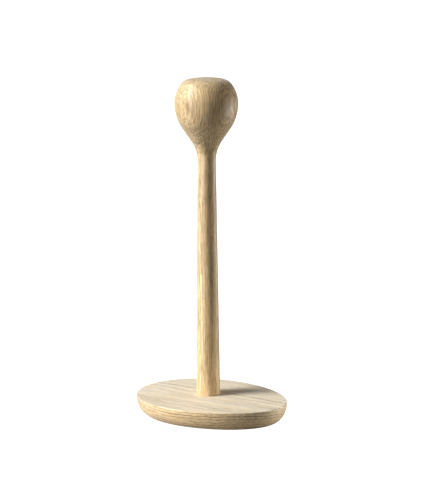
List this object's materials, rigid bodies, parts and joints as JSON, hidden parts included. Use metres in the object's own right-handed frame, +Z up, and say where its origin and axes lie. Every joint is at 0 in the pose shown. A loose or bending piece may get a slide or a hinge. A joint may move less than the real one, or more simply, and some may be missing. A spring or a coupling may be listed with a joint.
{
  "type": "paper towel holder",
  "caption": "Free-standing wooden paper towel holder: a turned post with a round knob that unscrews from a pebble-shaped base.",
  "frame": {"origin": "on the table, under the middle of the base's outline", "axes": "+Z up along the post; +X along the base's long axis and its grain, towards the narrow end; +Y across the base, towards the side that the post leans to"},
  "size_m": [0.162, 0.1256, 0.341],
  "materials": {
    "base_oak": "pale oak, sanded smooth and oiled, satin, grain along X",
    "post_oak": "pale oak turned along the grain, oiled, satin",
    "plated_steel": "bright zinc-plated steel thread",
    "zinc": "cast zinc alloy, dull grey",
    "pad_rubber": "matt black, self-adhesive"
  },
  "bodies": {
    "stand": {"base": "base_oak", "threaded_insert": "zinc", "pad_narrow_left": "pad_rubber", "pad_wide_left": "pad_rubber", "pad_wide_right": "pad_rubber", "pad_narrow_right": "pad_rubber"},
    "bolt": {"hanger_bolt": "plated_steel"},
    "post": {"post": "post_oak"}
  },
  "joints": [
    {"name": "post_lift", "type": "slide", "parent": "stand", "child": "bolt", "axis": [0, 0, 1], "range_m": [0, 0.01]},
    {"name": "post_turn", "type": "hinge", "parent": "bolt", "child": "post", "pos_m": [-0.0085, 0.005, 0.0215], "axis": [0, 0, 1], "range_deg": [0, 2880]}
  ],
  "couplings": [
    {"joint": "post_lift", "follows": "post_turn", "m_per_rad": 0.00019894}
  ]
}
